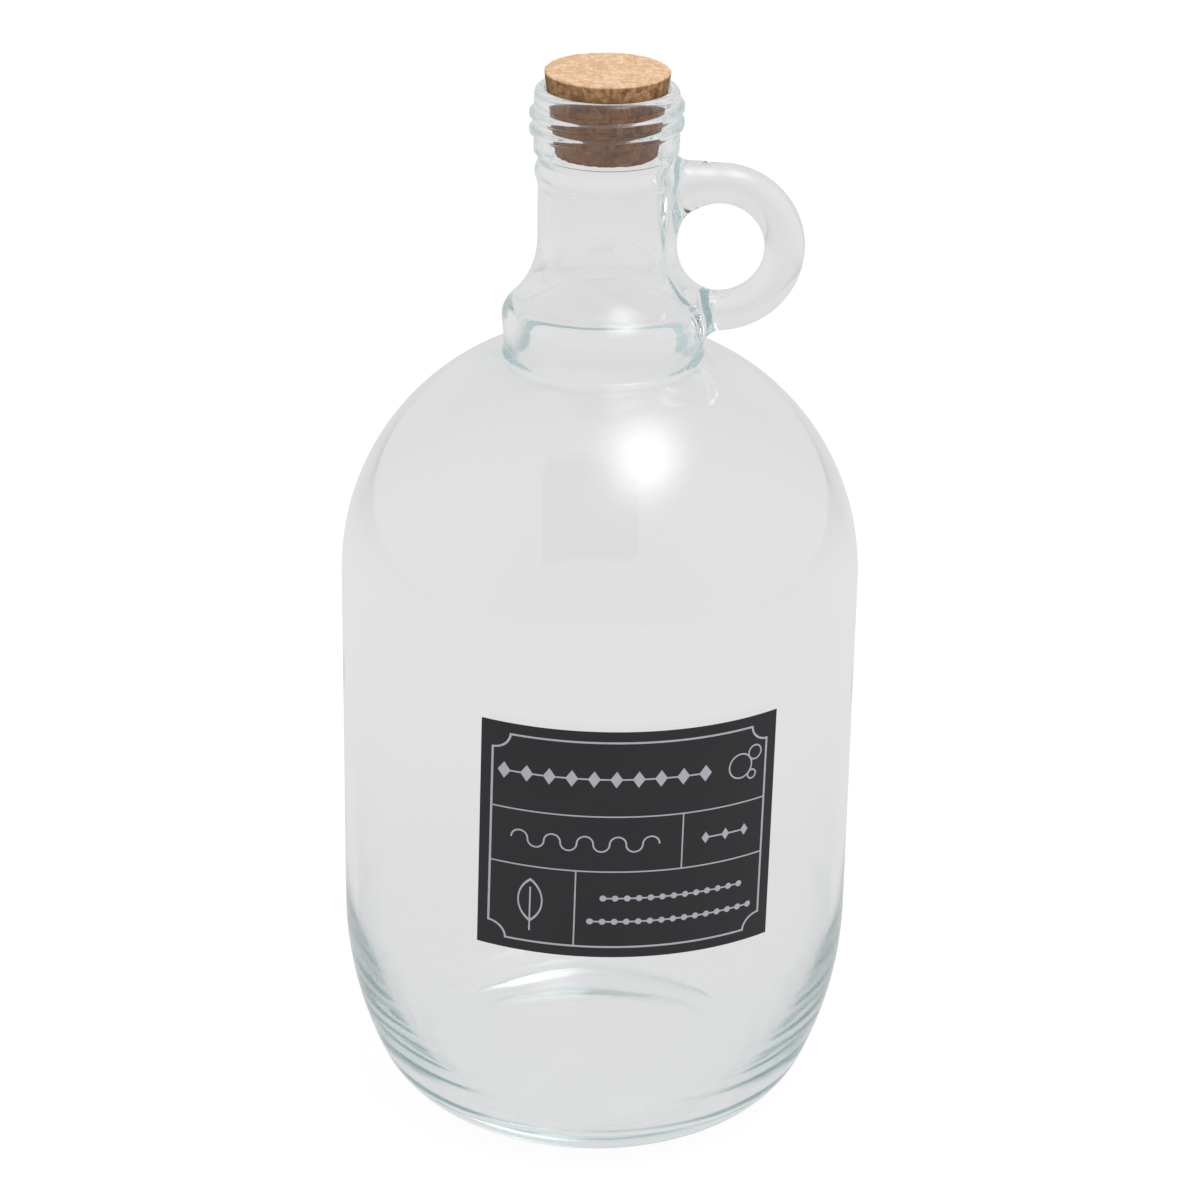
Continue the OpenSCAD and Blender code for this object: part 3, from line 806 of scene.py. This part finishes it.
def makeWorld(s):
    world = bpy.data.worlds.new("room")
    bpy.context.scene.world = world
    nodes = Nodes(world)
    path = nodes.tree.nodes.new("ShaderNodeLightPath")
    seen = Wire(nodes, path.outputs["Is Camera Ray"])
    gloss = nodes.maths("MAXIMUM", Wire(nodes, path.outputs["Is Glossy Ray"]),
                        Wire(nodes, path.outputs["Is Transmission Ray"]))
    direction = nodes.add("ShaderNodeTexCoord", output=0)
    y = nodes.add("ShaderNodeSeparateXYZ", None, {0: direction}, output=1)
    room = s["front"] + (s["room"] - s["front"]) * nodes.band(y, -0.9, -0.1)
    level = seen * s["white"] + (1 - seen) * (gloss * room + (1 - gloss) * s["fill"])
    nodes.finish(nodes.add("ShaderNodeBackground", None, {"Color": (1, 1, 1), "Strength": level}),
                 kind="ShaderNodeOutputWorld")


def makeFloor(s):
    step, half = 0.25, 3.0
    n = round(2 * half / step) + 1
    line = np.linspace(-half, half, n)
    points = [(x, y, -0.0002) for y in line for x in line]
    faces = [(j * n + i, j * n + i + 1, (j + 1) * n + i + 1, (j + 1) * n + i)
             for j in range(n - 1) for i in range(n - 1)]
    floor = makeObject("floor", points, faces)
    material, nodes = newMaterial("paleFloor")
    path = nodes.tree.nodes.new("ShaderNodeLightPath")
    seen = Wire(nodes, path.outputs["Is Camera Ray"])
    gloss = nodes.maths("MAXIMUM", Wire(nodes, path.outputs["Is Glossy Ray"]),
                        Wire(nodes, path.outputs["Is Transmission Ray"]))
    tone = nodes.blend(seen, (0.80, 0.80, 0.80), (0.14, 0.14, 0.14))
    paper = nodes.add("ShaderNodeBsdfDiffuse", None, {"Color": tone})
    glow = nodes.add("ShaderNodeEmission", None, {"Color": (1, 1, 1), "Strength": seen * 0.93})
    paper = nodes.add("ShaderNodeAddShader", None, {0: paper, 1: glow})
    place = nodes.add("ShaderNodeTexCoord", output=3)
    x = nodes.add("ShaderNodeSeparateXYZ", None, {0: place}, output=0)
    y = nodes.add("ShaderNodeSeparateXYZ", None, {0: place}, output=1)
    # what glass and gloss see of the floor has a painted shadow close behind the bottle and painted shade far
    # behind and to the sides
    far = nodes.band(y, 0.06, 0.24)
    sideShade = nodes.band(nodes.maths("ABSOLUTE", x, 0.0), 0.25, 1.6)
    level = s["near"] + (s["paper"] - s["near"]) * far
    level = level - nodes.band(y, 0.35, 0.80) * s["fade"] - sideShade * s["sideShade"]
    through = nodes.add("ShaderNodeEmission", None, {"Color": (1, 1, 1), "Strength": level})
    nodes.finish(nodes.add("ShaderNodeMixShader", None, {0: gloss, 1: paper, 2: through}))
    dress(floor, material)


def makeLamp(s):
    width, depth = s["lampSize"]
    n = 24
    points = [(0, 0, 0)]
    for ring in range(1, 7):
        for i in range(n):
            t = 2 * math.pi * i / n
            points.append((math.cos(t) * ring / 6 * width / 2, math.sin(t) * ring / 6 * depth / 2, 0))
    faces = [(0, 1 + (i + 1) % n, 1 + i) for i in range(n)]
    for ring in range(5):
        a = 1 + ring * n
        faces += [(a + i, a + (i + 1) % n, a + n + (i + 1) % n, a + n + i) for i in range(n)]
    lamp = makeObject("softbox", [tuple(Vector(q) + Vector(s["lampAt"])) for q in points], faces)
    material, nodes = newMaterial("softboxFront")
    place = nodes.add("ShaderNodeTexCoord", output=3)
    away = (place - s["lampAt"]) * (2 / width, 2 / depth, 0)
    distance = nodes.add("ShaderNodeVectorMath", {"operation": "LENGTH"}, {0: away}, output=1)
    edge = 1 - nodes.band(distance, 0.0, 1.0)
    glow = edge * edge * s["lamp"] * 2 + s["room"]
    nodes.finish(nodes.add("ShaderNodeEmission", None, {"Color": (1, 1, 1), "Strength": glow}))
    dress(lamp, material)
    lamp.visible_camera = False


makeWorld(studio)
makeFloor(studio)
makeLamp(studio)
print("studio made")
